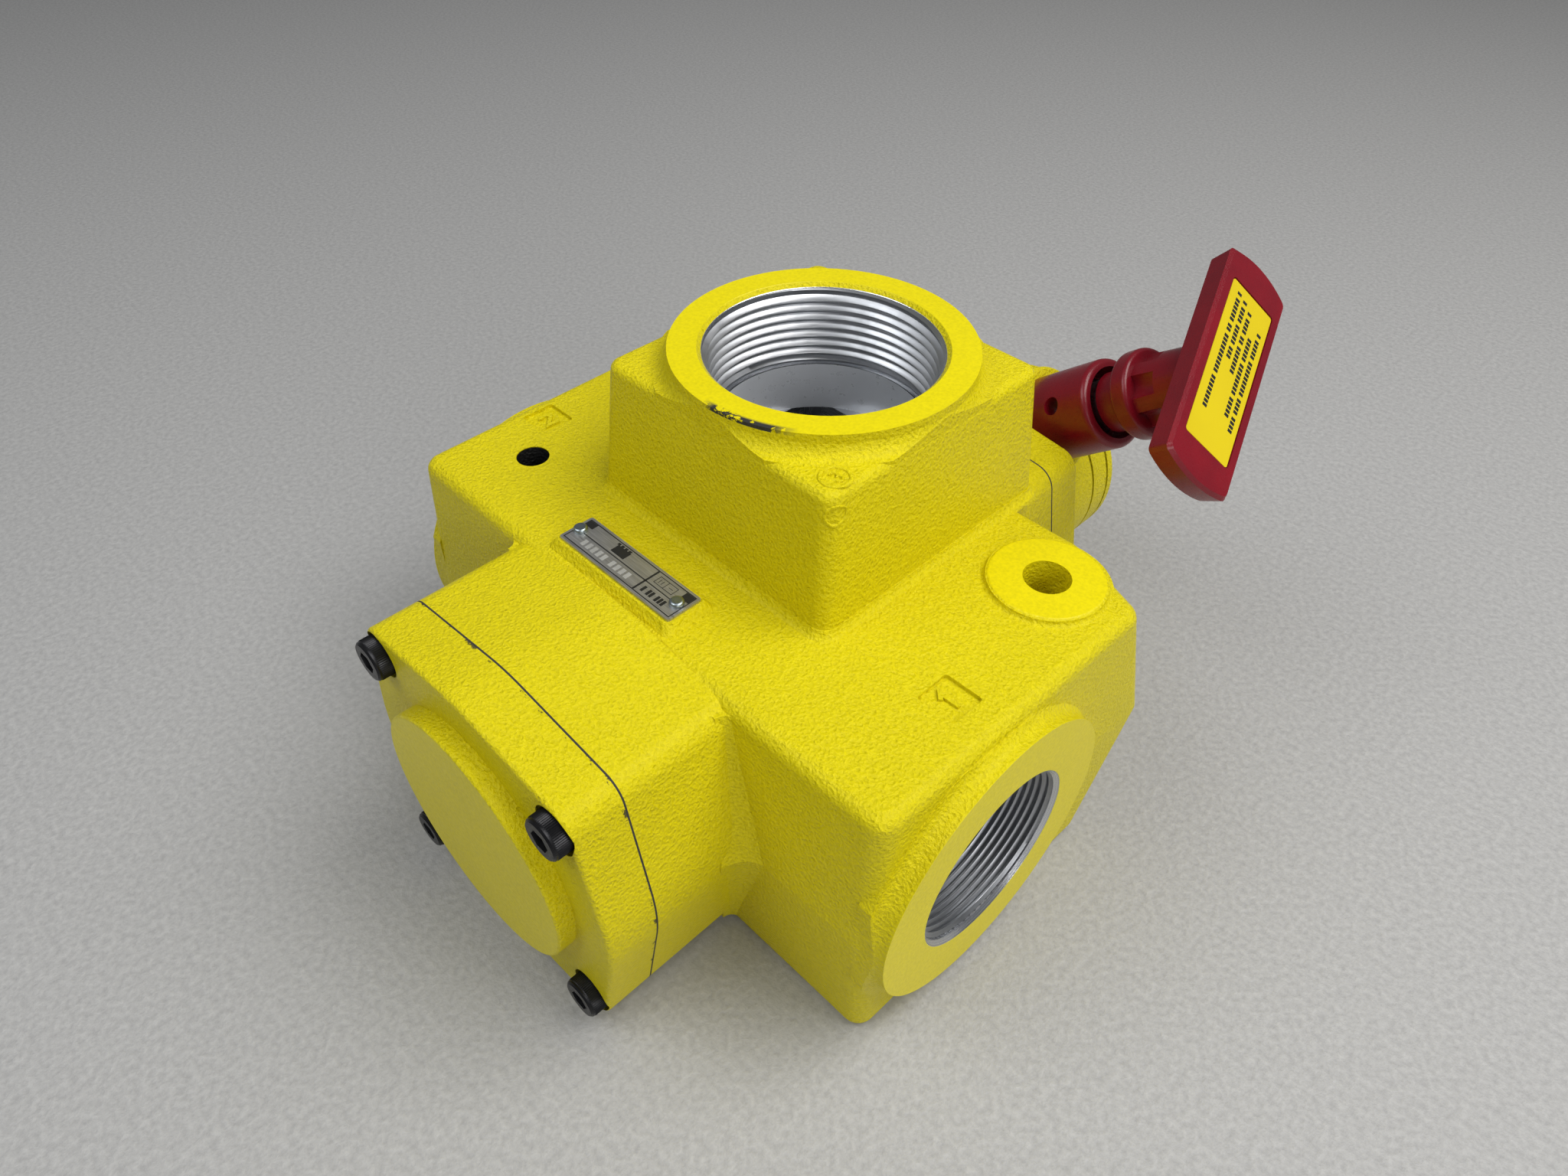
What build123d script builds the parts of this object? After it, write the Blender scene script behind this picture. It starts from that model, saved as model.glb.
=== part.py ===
from build123d import *
from math import cos, radians, sin
import os

# Three way shut-off and exhaust valve, millimetres, +Z up.
# x = y = 0 is the axis of the top exhaust port and z = 0 is the bottom face.
# +X is the inlet end, -X the outlet end, -Y the spring cover, +Y the handle end.

# ---- body ----
PORT_Z = 54.0             # height of the inlet and outlet axis, also the parting plane
PORT_Y = -38.6            # the inlet and outlet axis stands ahead of the top port
SPOOL_Z = 56.5            # height of the poppet axis, which runs along Y
TOP_Z = 109.0             # flat top of the main casting
TOP_PORT_Z = 163.0        # machined face of the top port
TOP_BLOCK_Z = 156.0       # top of the square block under that face
BLOCK_CORNER_R = 5.0
BLOCK_FOOT = (103.0, 102.0)
BLOCK_TOP = (94.0, 93.0)
END_PORT_X = 112.0        # machined face of the inlet and outlet
END_BOSS_R = 49.3
TOP_BOSS_R = 46.7
JOINT_FRONT_Y = -122.1    # where the front cover's gasket starts
JOINT_REAR_Y = 63.7       # where the rear gasket starts
GASKET = 0.6

# ---- threads: nominal 2 1/2 and 2 pipe thread ----
TOP_THREAD_R = 36.5
TOP_THREAD_DEPTH = 28.0
TOP_MOUTH_R = 38.0
TOP_BORE_R = 33.4
END_THREAD_R = 30.2
END_THREAD_DEPTH = 24.0
END_MOUTH_R = 31.6
END_BORE_R = 27.6
SENSE_X, SENSE_Y, SENSE_R = -79.0, -58.0, 5.6
LUG_X, LUG_Y, LUG_R, LUG_HOLE_R = 80.0, 16.0, 18.5, 7.4

# ---- inner bores along the poppet axis ----
CHAMBER_R = 38.0
CYLINDER_R = 40.0
SEAT_OUTER_R = 30.0
SEAT_INNER_R = 24.0
INLET_SEAT_Y = -67.0
EXHAUST_SEAT_Y = -9.0
BULKHEAD_Y = 28.0
BULKHEAD_THICK = 8.0
STEM_R = 8.0
TUBE_R = 10.5             # spacer tubes round the stem; the rear one runs in the bush
BUSH_R = 13.0
POPPET_R = 29.0
POPPET_TRAVEL = 9.0
SEAL_GAP = 0.3
NUT_THICK = 5.0

# ---- covers and their screws ----
COVER_THICK = 16.5
DISC_R = 42.3
DISC_Y = -145.1
SCREW_PITCH = 42.3
SCREW_R = 4.0
HEAD_R = 6.5
HEAD_LONG = 8.0
POCKET_R = 7.8
POCKET_Y = -133.6
WASHER_THICK = 2.2
PLATE_THICK = 15.0

# ---- pilot head ----
PILOT_R = 38.0
PILOT_END_Y = 121.0
PILOT_SCREW_CIRCLE = 31.0
RING_THICK = 8.7
CAP_END_Y = 137.0
HANDLE_Y = 100.0
HANDLE_TILT = 39.0        # degrees above the horizontal, in the XZ plane
HANDLE_OFFSET = 18.4      # the handle's axis passes this far above the poppet axis
RUN_GAP = 0.08            # running clearance on radius

# ---- handle, distances along its own axis ----
HANDLE_R = 16.0           # the fixed lock sleeve
HANDLE_TRAVEL = 9.4       # pushed in, the grip's flange meets the sleeve's rim
BOSS_OUTER_R = 20.0
BOSS_END = 47.0
SLEEVE_START = 28.0
SHAFT_R = 9.0
SPOOL_START = -2.0
SHAFT_END = 85.3
STUD_R = 5.0
STUD_END = 98.0
WIPER_R = 11.0
WIPER_THICK = 1.5
DISH_R = 12.8
DISH_DEPTH = 9.6
HANDLE_RIM = 76.0
SKIRT_R = 10.6            # the grip's skirt, which plunges into the sleeve's dished end
SKIRT_START = 76.5
FLANGE_START = 85.6
FLANGE_END = 92.6
FLANGE_R = 15.4
TEE_BACK = 113.0
TEE_FACE = 121.5
TEE_LONG = 84.5
TEE_WIDE = 31.0
TEE_BULGE = 3.0
TEE_TURN = 31.0
LOCK_HOLE = 61.0
LOCK_HOLE_R = 3.2
LOCK_HOLE_LEAN = 30.0

# ---- name plate ----
TAG_X, TAG_Y, TAG_LONG, TAG_WIDE = -9.4, -72.2, 51.6, 12.8
TAG_Z = 112.0
TAG_THICK = 0.8
TAG_SCREWS = ((TAG_X - 23.3, TAG_Y), (TAG_X + 22.3, TAG_Y))
TAG_SCREW_R = 1.2

os.makedirs("parts", exist_ok=True)

tilt = radians(HANDLE_TILT)
handle_origin = (-HANDLE_OFFSET * sin(tilt), HANDLE_Y, SPOOL_Z + HANDLE_OFFSET * cos(tilt))
HANDLE = Plane(origin=handle_origin, x_dir=(0, 1, 0), z_dir=(cos(tilt), 0, sin(tilt)))


def save(piece, name):
    """Label a finished piece and write it as its own STEP file."""
    piece.part.label = name
    export_step(piece.part, f"parts/{name}.step")


def facing_front(y):
    """A sketch plane at this Y that faces -Y, with its centre on the poppet axis."""
    return Plane(origin=(0, y, SPOOL_Z), x_dir=(1, 0, 0), z_dir=(0, -1, 0))


def facing_rear(y):
    """The same, facing +Y."""
    return Plane(origin=(0, y, SPOOL_Z), x_dir=(-1, 0, 0), z_dir=(0, 1, 0))


def end_plane(side, x):
    """A plane square to the inlet or outlet axis that faces out of the body."""
    return Plane(origin=(side * x, PORT_Y, PORT_Z), x_dir=(0, side, 0), z_dir=(side, 0, 0))


def cover_profile():
    """The bulged square that the covers and the casting's extensions share."""
    with BuildSketch(Plane.XY) as profile:
        with BuildLine():
            Polyline(
                (-59.0, 0),
                (-48.8, 50.4),
                (0, 56.3),
                (48.8, 50.4),
                (59.0, 0),
                (48.8, -50.4),
                (0, -56.3),
                (-48.8, -50.4),
                close=True,
            )
        make_face()
        corners = profile.vertices().filter_by(lambda v: abs(v.X) > 40 and abs(v.Y) > 40)
        fillet(corners, 8)
        flats = profile.vertices().filter_by(lambda v: abs(v.X) < 1 or abs(v.Y) < 1)
        fillet(flats, 60)
    return profile.sketch


def four_screw_places():
    """The square of cover screws about the poppet axis."""
    return GridLocations(2 * SCREW_PITCH, 2 * SCREW_PITCH, 2, 2)


# ---------------------------------------------------------------- valve body
# Outlines of the main casting at its top and bottom edges and at its parting plane.
edge_outline = [(-105, -86), (105, -86), (107, 25.5), (76, 38), (-76, 38), (-107, 25.5)]
parting_outline = [(-107, -89), (107, -89), (109, 44.5), (76, 57), (-76, 57), (-109, 44.5)]

with BuildPart() as main_block:
    for height, outline in ((0, edge_outline), (PORT_Z, parting_outline), (TOP_Z, edge_outline)):
        with BuildSketch(Plane.XY.offset(height)):
            corners = Polygon(*outline, align=None).vertices()
            fillet(corners.filter_by(lambda v: abs(v.X) > 90), 6)
            fillet(corners.filter_by(lambda v: abs(v.X) < 90), 12)
    loft(ruled=True)
    rims = [e for e in main_block.edges() if e.center().Z > TOP_Z - 0.01 or e.center().Z < 0.01]
    fillet(rims, 4.5)

with BuildPart() as top_block:
    with BuildSketch(Plane.XY.offset(TOP_Z - 8)):
        RectangleRounded(*BLOCK_FOOT, BLOCK_CORNER_R)
    with BuildSketch(Plane.XY.offset(TOP_BLOCK_Z)):
        RectangleRounded(*BLOCK_TOP, BLOCK_CORNER_R)
    loft()
    fillet(top_block.faces().sort_by(Axis.Z)[-1].edges(), 3)
    with BuildSketch(Plane.XY.offset(TOP_BLOCK_Z - 12)):
        Circle(TOP_BOSS_R + 0.1)
    extrude(amount=TOP_PORT_Z - TOP_BLOCK_Z + 12)

with BuildPart() as front_extension:
    with BuildSketch(facing_front(-84)):
        add(cover_profile())
    extrude(amount=-JOINT_FRONT_Y - 84)

with BuildPart() as rear_extension:
    with BuildSketch(facing_rear(10)):
        add(cover_profile())
    extrude(amount=JOINT_REAR_Y - 10)

with BuildPart() as end_bosses:
    for side in (1, -1):
        with BuildSketch(end_plane(side, 90)):
            Circle(END_BOSS_R)
        extrude(amount=END_PORT_X - 90)

with BuildPart() as lug_bosses:
    with BuildSketch(Plane.XY.offset(TOP_Z - 5)):
        with Locations((-LUG_X, LUG_Y), (LUG_X, LUG_Y)):
            Circle(LUG_R)
    extrude(amount=7)
    fillet(lug_bosses.faces().sort_by(Axis.Z)[-2:].edges(), 1.2)

with BuildPart() as tag_pad:
    with BuildSketch(Plane.XY.offset(TOP_Z - 4)):
        with Locations((TAG_X, TAG_Y)):
            RectangleRounded(TAG_LONG + 12, TAG_WIDE + 12, 3)
    with BuildSketch(Plane.XY.offset(TAG_Z)):
        with Locations((TAG_X, TAG_Y)):
            RectangleRounded(TAG_LONG + 2, TAG_WIDE + 2, 2)
    loft()


def flare(plane, radius, size):
    """A ring with a concave fillet of this size round a boss that stands on plane."""
    with Locations(plane):
        Cylinder(radius + size, 2 * size)
    with Locations(plane.offset(size)):
        Torus(radius + size, size, mode=Mode.SUBTRACT)


with BuildPart() as top_flare:
    flare(Plane.XY.offset(TOP_BLOCK_Z), TOP_BOSS_R, 5.0)
    with BuildSketch(Plane.XY.offset(TOP_BLOCK_Z - 6)):
        RectangleRounded(*BLOCK_TOP, BLOCK_CORNER_R)
    extrude(amount=12, mode=Mode.INTERSECT)

with BuildPart() as end_flares:
    for side in (1, -1):
        flare(end_plane(side, END_PORT_X - 6), END_BOSS_R, 4.5)
    with Locations((0, PORT_Y, PORT_Z)):
        Box(2 * END_PORT_X, 2 * END_BOSS_R + 1, 2 * END_BOSS_R + 3, mode=Mode.INTERSECT)

with BuildPart() as lug_flares:
    for side in (1, -1):
        flare(Plane(origin=(side * LUG_X, LUG_Y, TOP_Z)), LUG_R, 1.6)

# the foot of the top block flares out into the main casting
with BuildPart() as block_foot:
    for height, grow in ((-1.0, 2.6), (0.0, 2.2), (0.7, 1.3), (1.6, 0.6), (2.6, 0.2)):
        with BuildSketch(Plane.XY.offset(TOP_Z + height)):
            RectangleRounded(101.6 + 2 * grow, 100.6 + 2 * grow, BLOCK_CORNER_R + grow)
    loft(ruled=True)


def corner_web(side):
    """The soft inside corner between the front extension and the main casting."""
    with BuildPart() as web:
        for height, half_wide, wall_y, size in (
            (3.0, 47.5, -86.0, 4.0),
            (PORT_Z, 58.4, -89.0, 10.0),
            (TOP_Z - 3.0, 48.2, -86.0, 4.0),
        ):
            wall_y += 0.3
            near = size * (1 - cos(radians(45)))
            with BuildSketch(Plane.XY.offset(height)):
                with BuildLine():
                    Polyline(
                        (side * (half_wide + size), wall_y),
                        (side * (half_wide + size), wall_y + 6),
                        (side * (half_wide - 6), wall_y + 6),
                        (side * (half_wide - 6), wall_y - size),
                        (side * half_wide, wall_y - size),
                    )
                    ThreePointArc(
                        (side * half_wide, wall_y - size),
                        (side * (half_wide + near), wall_y - near),
                        (side * (half_wide + size), wall_y),
                    )
                make_face()
        loft(ruled=True)
    return web.part


def cut_port(plane, mouth_r, thread_r, thread_depth, bore_r, depth):
    """A chamfered mouth, a thread's full bore and the smooth bore below it."""
    with BuildSketch(plane) as bore:
        Circle(bore_r)
    extrude(bore.sketch, amount=-depth, mode=Mode.SUBTRACT)
    with BuildSketch(plane) as thread:
        Circle(thread_r)
    extrude(thread.sketch, amount=-thread_depth, mode=Mode.SUBTRACT)
    with BuildSketch(plane) as mouth:
        Circle(mouth_r)
    with BuildSketch(plane.offset(thread_r - mouth_r)) as throat:
        Circle(thread_r)
    loft([mouth.sketch, throat.sketch], mode=Mode.SUBTRACT)


def cut_round(y_from, y_to, radius):
    """Bore about the poppet axis between two stations."""
    with BuildSketch(facing_rear(y_from)) as bore:
        Circle(radius)
    extrude(bore.sketch, amount=y_to - y_from, mode=Mode.SUBTRACT)


def port_mark(x, y, digit):
    """A square cast recess with a raised port number in it."""
    depth = 1.2
    with BuildSketch(Plane.XY.offset(TOP_Z - depth)) as recess:
        with Locations((x, y)):
            RectangleRounded(13, 12.6, 1)
    extrude(recess.sketch, amount=depth + 1, mode=Mode.SUBTRACT)
    with BuildSketch(Plane(origin=(x, y, TOP_Z - depth), x_dir=(0, 1, 0), z_dir=(0, 0, 1))) as numeral:
        with BuildLine():
            if digit == 1:
                Polyline((-1.8, 1.6), (0, 3.4), (0, -3.4))
            else:
                RadiusArc((-2.0, 1.6), (1.9, 1.0), 2.2)
                Polyline((1.9, 1.0), (-2.0, -3.2), (2.2, -3.2))
        trace(line_width=1.3)
    extrude(numeral.sketch, amount=0.9)


with BuildPart() as valve_body:
    add(main_block.part)
    add(front_extension.part)
    add(rear_extension.part)
    add(top_block.part)
    add(end_bosses.part)
    add(lug_bosses.part)
    add(tag_pad.part)
    add(top_flare.part)
    add(end_flares.part)
    add(lug_flares.part)
    add(block_foot.part)
    add(corner_web(1))
    add(corner_web(-1))
    # everything below the bottom face is machined off
    with BuildSketch(Plane.XY):
        Rectangle(400, 400)
    extrude(amount=-20, mode=Mode.SUBTRACT)
    # chambers, from the front cover to the rear joint
    cut_round(JOINT_FRONT_Y - 1, INLET_SEAT_Y + 1, CYLINDER_R)
    cut_round(INLET_SEAT_Y, INLET_SEAT_Y + 7, SEAT_OUTER_R)
    cut_round(INLET_SEAT_Y, -56, SEAT_INNER_R)
    cut_round(-56, -20, CHAMBER_R)
    cut_round(-20, EXHAUST_SEAT_Y, SEAT_INNER_R)
    cut_round(-16, EXHAUST_SEAT_Y, SEAT_OUTER_R)
    cut_round(-10, BULKHEAD_Y, CHAMBER_R)
    cut_round(BULKHEAD_Y, JOINT_REAR_Y + 1, CYLINDER_R)
    # passages from the ports to their chambers
    with BuildSketch(Plane.XY.offset(PORT_Z - 25)):
        Polygon((20, -80), (86, -80), (86, -16), (60, -16), (60, -66), (20, -66), align=None)
    extrude(amount=50, mode=Mode.SUBTRACT)
    with BuildSketch(Plane.XY.offset(PORT_Z - 25)):
        Polygon((-86, -62), (-60, -62), (-60, -54), (-20, -54), (-20, -22), (-86, -22), align=None)
    extrude(amount=50, mode=Mode.SUBTRACT)
    with BuildSketch(Plane.XY.offset(72)):
        with Locations((0, 10)):
            Rectangle(58, 34)
    extrude(amount=50, mode=Mode.SUBTRACT)
    top_face = Plane.XY.offset(TOP_PORT_Z)
    cut_port(top_face, TOP_MOUTH_R, TOP_THREAD_R, TOP_THREAD_DEPTH, TOP_BORE_R, 45)
    for side in (1, -1):
        face = end_plane(side, END_PORT_X)
        cut_port(face, END_MOUTH_R, END_THREAD_R, END_THREAD_DEPTH, END_BORE_R, 46)
    # mounting holes, sensing port and screw holes
    with BuildSketch(Plane.XY.offset(-1)):
        with Locations((-LUG_X, LUG_Y), (LUG_X, LUG_Y)):
            Circle(LUG_HOLE_R)
    extrude(amount=TOP_Z + 4, mode=Mode.SUBTRACT)
    with BuildSketch(Plane.XY.offset(TOP_Z + 1)):
        with Locations((SENSE_X, SENSE_Y)):
            Circle(SENSE_R)
    extrude(amount=-32, mode=Mode.SUBTRACT)
    with BuildSketch(facing_front(JOINT_FRONT_Y)):
        with four_screw_places():
            Circle(SCREW_R)
    extrude(amount=-20, mode=Mode.SUBTRACT)
    with BuildSketch(facing_rear(JOINT_REAR_Y)):
        with four_screw_places():
            Circle(SCREW_R)
    extrude(amount=-20, mode=Mode.SUBTRACT)
    with BuildSketch(Plane.XY.offset(TAG_Z)):
        with Locations(*TAG_SCREWS):
            Circle(TAG_SCREW_R)
    extrude(amount=-7, mode=Mode.SUBTRACT)
    port_mark(89.0, -41.0, 1)
    port_mark(-94.0, -41.0, 2)
save(valve_body, "valve_body")

# ------------------------------------------------------------- front cover
cover_back_y = JOINT_FRONT_Y - GASKET
cover_face_y = cover_back_y - COVER_THICK

with BuildPart() as front_cover_gasket:
    with BuildSketch(facing_front(JOINT_FRONT_Y)):
        add(cover_profile())
        Circle(CYLINDER_R, mode=Mode.SUBTRACT)
        with four_screw_places():
            Circle(SCREW_R + 0.4, mode=Mode.SUBTRACT)
    extrude(amount=GASKET)
save(front_cover_gasket, "front_cover_gasket")

with BuildPart() as front_cover:
    with BuildSketch(facing_front(cover_back_y)):
        add(cover_profile())
    extrude(amount=COVER_THICK)
    fillet(front_cover.faces().sort_by(Axis.Y)[0].edges(), 1.5)
    with BuildSketch(facing_front(cover_face_y + 1)):
        Circle(DISC_R)
    extrude(amount=cover_face_y + 1 - DISC_Y)
    fillet(front_cover.faces().sort_by(Axis.Y)[0].edges(), 0.8)
    with BuildSketch(facing_front(POCKET_Y)):
        with four_screw_places():
            Circle(POCKET_R)
    extrude(amount=20, mode=Mode.SUBTRACT)
    with BuildSketch(facing_front(cover_back_y)):
        with four_screw_places():
            Circle(SCREW_R + 0.4)
    extrude(amount=30, mode=Mode.SUBTRACT)
    with BuildSketch(facing_front(cover_back_y)):
        Circle(24)
    extrude(amount=11, mode=Mode.SUBTRACT)
save(front_cover, "front_cover")

with BuildPart() as front_cover_lock_washers:
    with BuildSketch(facing_front(POCKET_Y)):
        with four_screw_places():
            Circle(7.2)
            Circle(SCREW_R + 0.1, mode=Mode.SUBTRACT)
            with Locations((5.5, 0)):
                Rectangle(4.5, 0.8, rotation=18, mode=Mode.SUBTRACT)
    extrude(amount=WASHER_THICK)
save(front_cover_lock_washers, "front_cover_lock_washers")


def cap_screws(head_plane, head_r, head_long, shank_r, shank_long, socket_r, places):
    """Socket head cap screws, heads standing up from head_plane."""
    with BuildPart() as screws:
        with BuildSketch(head_plane):
            with places():
                Circle(head_r)
        extrude(amount=head_long)
        rims = [e for e in screws.edges() if head_plane.to_local_coords(e.center()).Z > head_long - 0.01]
        chamfer(rims, 0.6)
        with BuildSketch(head_plane.offset(head_long)):
            with places():
                RegularPolygon(socket_r, 6)
        extrude(amount=-0.55 * head_long, mode=Mode.SUBTRACT)
        with BuildSketch(head_plane):
            with places():
                Circle(shank_r)
        extrude(amount=-shank_long)
    return screws


front_cover_screws = cap_screws(
    facing_front(POCKET_Y - WASHER_THICK), HEAD_R, HEAD_LONG, SCREW_R, 30, 3.6, four_screw_places
)
save(front_cover_screws, "front_cover_screws")

# ------------------------------------------------- seats, stem and poppets
def turned(name, *steps):
    """A piece turned about the poppet axis: steps of (y_from, y_to, outer_r, inner_r)."""
    with BuildPart() as piece:
        for y_from, y_to, outer_r, inner_r in steps:
            with BuildSketch(facing_rear(y_from)) as ring:
                Circle(outer_r)
                if inner_r:
                    Circle(inner_r, mode=Mode.SUBTRACT)
            extrude(ring.sketch, amount=y_to - y_from)
    save(piece, name)
    return piece


def o_ring(name, plane, places, ring_r, cord_r):
    """Seals of round section about the normal of a plane, one at each offset along it."""
    with BuildPart() as rings:
        for place in places:
            with Locations(plane.offset(place)):
                Torus(ring_r, cord_r)
    save(rings, name)
    return rings


turned("inlet_seat_ring", (INLET_SEAT_Y, INLET_SEAT_Y + 7, SEAT_OUTER_R, SEAT_INNER_R))
turned("exhaust_seat_ring", (-16, EXHAUST_SEAT_Y, SEAT_OUTER_R, SEAT_INNER_R))

inlet_seal_y = INLET_SEAT_Y - SEAL_GAP - POPPET_TRAVEL     # open at rest
exhaust_seal_y = EXHAUST_SEAT_Y + SEAL_GAP                 # closed at rest
turned("inlet_poppet_seal", (inlet_seal_y - 2, inlet_seal_y, POPPET_R - 1, 12))
turned(
    "inlet_poppet",
    (inlet_seal_y - 6, inlet_seal_y - 2, POPPET_R, STEM_R),
    (inlet_seal_y - 2, inlet_seal_y, 12, STEM_R),
    (inlet_seal_y - 10, inlet_seal_y - 6, 15, STEM_R),
)
turned("exhaust_poppet_seal", (exhaust_seal_y, exhaust_seal_y + 2, POPPET_R - 1, 12))
turned(
    "exhaust_poppet",
    (exhaust_seal_y + 2, exhaust_seal_y + 7, POPPET_R, STEM_R),
    (exhaust_seal_y, exhaust_seal_y + 2, 12, STEM_R),
    (exhaust_seal_y + 7, exhaust_seal_y + 10, 15, STEM_R),
)
turned("poppet_spacer_tube", (inlet_seal_y, exhaust_seal_y, TUBE_R, STEM_R))

bulkhead_rear_y = BULKHEAD_Y + BULKHEAD_THICK
piston_y = bulkhead_rear_y + 1
turned("main_stem", (-108, 54.5, STEM_R, 0))
turned("bulkhead", (BULKHEAD_Y, bulkhead_rear_y, CYLINDER_R, BUSH_R))
turned("stem_guide_bush", (BULKHEAD_Y, bulkhead_rear_y, BUSH_R, TUBE_R + RUN_GAP))
turned("piston_spacer_tube", (exhaust_seal_y + 10, piston_y, TUBE_R, STEM_R))
turned(
    "actuator_piston",
    (piston_y, piston_y + 3, CYLINDER_R - 0.3, STEM_R),
    (piston_y + 3, piston_y + 8, CYLINDER_R - 5, STEM_R),
    (piston_y + 8, piston_y + 11, CYLINDER_R - 0.3, STEM_R),
)
o_ring("piston_seal", facing_rear(piston_y + 5.5), (0,), CYLINDER_R - 2.5, 2.42)


def stem_nut_pair():
    """The lock nuts that clamp the poppets and the piston on the stem."""
    with BuildPart() as nuts:
        for y_from in (inlet_seal_y - 10 - NUT_THICK, piston_y + 11):
            with BuildSketch(facing_rear(y_from)) as hexagon:
                RegularPolygon(14, 6)
                Circle(STEM_R, mode=Mode.SUBTRACT)
            extrude(hexagon.sketch, amount=NUT_THICK)
    save(nuts, "stem_nuts")


stem_nut_pair()

spring_seat_y = inlet_seal_y - 11
turned("spring_seat", (spring_seat_y, spring_seat_y + 1, 22.5, 15.5))


def coil_spring(name, start_y, length, coil_r, wire_r, turns):
    """A helix of round wire about the poppet axis."""
    with BuildPart() as spring:
        with BuildLine() as path:
            Helix(length / turns, length, coil_r, center=(0, start_y, SPOOL_Z), direction=(0, 1, 0))
        start = path.line @ 0
        with BuildSketch(Plane(origin=start, z_dir=path.line % 0)) as wire:
            Circle(wire_r)
        sweep(wire.sketch, path=path.line, is_frenet=True)
    save(spring, name)


spring_start = cover_back_y - 11 + 2.2
coil_spring("return_spring", spring_start, spring_seat_y - spring_start - 2.2, 19, 2.0, 6)

# ---------------------------------------------------- rear plate and pilot
plate_front_y = JOINT_REAR_Y + GASKET
plate_rear_y = plate_front_y + PLATE_THICK
pilot_way = (handle_origin[0], handle_origin[2] - SPOOL_Z)      # air way under the handle's spool

with BuildPart() as rear_gasket:
    with BuildSketch(facing_rear(JOINT_REAR_Y)):
        add(cover_profile())
        Circle(CYLINDER_R, mode=Mode.SUBTRACT)
        with four_screw_places():
            Circle(SCREW_R + 0.4, mode=Mode.SUBTRACT)
    extrude(amount=GASKET)
save(rear_gasket, "rear_gasket")


def pilot_screw_places():
    """Four places about the poppet axis, turned with the handle."""
    return PolarLocations(PILOT_SCREW_CIRCLE, 4, start_angle=-HANDLE_TILT)


with BuildPart() as rear_plate:
    with BuildSketch(facing_rear(plate_front_y)):
        add(cover_profile())
    extrude(amount=PLATE_THICK)
    fillet(rear_plate.faces().sort_by(Axis.Y)[-1].edges(), 1.5)
    with BuildSketch(facing_rear(plate_front_y)):
        with four_screw_places():
            Circle(SCREW_R + 0.4)
        with pilot_screw_places():
            Circle(3.0)
        with Locations((-pilot_way[0], pilot_way[1])):
            Circle(3.0)
    extrude(amount=PLATE_THICK, mode=Mode.SUBTRACT)
    with BuildSketch(facing_rear(plate_rear_y)):
        with four_screw_places():
            Circle(HEAD_R + 0.6)
    extrude(amount=-HEAD_LONG - 0.5, mode=Mode.SUBTRACT)
    with BuildSketch(facing_rear(plate_front_y)):
        with pilot_screw_places():
            Circle(5.4)
    extrude(amount=6.5, mode=Mode.SUBTRACT)
save(rear_plate, "rear_plate")

rear_plate_screws = cap_screws(
    facing_rear(plate_rear_y - HEAD_LONG - 0.5), HEAD_R, HEAD_LONG, SCREW_R, 24, 3.6, four_screw_places
)
save(rear_plate_screws, "rear_plate_screws")

pilot_screws = cap_screws(
    facing_front(plate_front_y + 6.5), 5.0, 6.0, 2.9, 12.5, 2.6,
    lambda: PolarLocations(PILOT_SCREW_CIRCLE, 4, start_angle=HANDLE_TILT),
)
save(pilot_screws, "pilot_housing_screws")


def handle_bore(s_from, s_to, radius):
    """Bore along the handle's axis between two stations."""
    with BuildSketch(HANDLE.offset(s_from)) as bore:
        Circle(radius)
    extrude(bore.sketch, amount=s_to - s_from, mode=Mode.SUBTRACT)


with BuildPart() as pilot_housing:
    with BuildSketch(facing_rear(plate_rear_y)):
        Circle(PILOT_R)
    extrude(amount=PILOT_END_Y - plate_rear_y)
    with BuildSketch(HANDLE.offset(8)):
        Circle(BOSS_OUTER_R)
    extrude(amount=BOSS_END - 8)
    boss_face = pilot_housing.faces().sort_by(Axis(handle_origin, HANDLE.z_dir))[-1]
    fillet(boss_face.edges(), 1.2)
    handle_bore(SLEEVE_START, BOSS_END + 1, HANDLE_R)
    handle_bore(SPOOL_START - HANDLE_TRAVEL - 1.6, SLEEVE_START + 1, SHAFT_R + RUN_GAP)
    with BuildSketch(facing_rear(plate_rear_y)):
        with Locations((-pilot_way[0], pilot_way[1])):
            Circle(3.0)
    extrude(amount=HANDLE_Y - plate_rear_y, mode=Mode.SUBTRACT)
    with BuildSketch(facing_rear(plate_rear_y)):
        with pilot_screw_places():
            Circle(2.9)
    extrude(amount=4.2, mode=Mode.SUBTRACT)
    with BuildSketch(facing_rear(PILOT_END_Y)):
        with PolarLocations(PILOT_SCREW_CIRCLE, 4, start_angle=45 - HANDLE_TILT):
            Circle(2.5)
    extrude(amount=-4.5, mode=Mode.SUBTRACT)
save(pilot_housing, "pilot_housing")

def cap_disc(name, y_from, thick, radius, edge=0.0, screw_r=0.0):
    """One disc of the pilot's stacked end, with its screw holes."""
    with BuildPart() as disc:
        with BuildSketch(facing_rear(y_from)) as outline:
            Circle(radius)
        extrude(outline.sketch, amount=thick)
        if edge:
            fillet(disc.faces().sort_by(Axis.Y)[-1].edges(), edge)
        with BuildSketch(facing_rear(y_from)) as holes:
            with PolarLocations(PILOT_SCREW_CIRCLE, 4, start_angle=45 - HANDLE_TILT):
                Circle(screw_r)
        extrude(holes.sketch, amount=thick, mode=Mode.SUBTRACT)
        if edge:
            with BuildSketch(facing_rear(y_from + thick)) as sinks:
                with PolarLocations(PILOT_SCREW_CIRCLE, 4, start_angle=45 - HANDLE_TILT):
                    Circle(4.6)
            extrude(sinks.sketch, amount=-3.5, mode=Mode.SUBTRACT)
    save(disc, name)
    return disc


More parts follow.
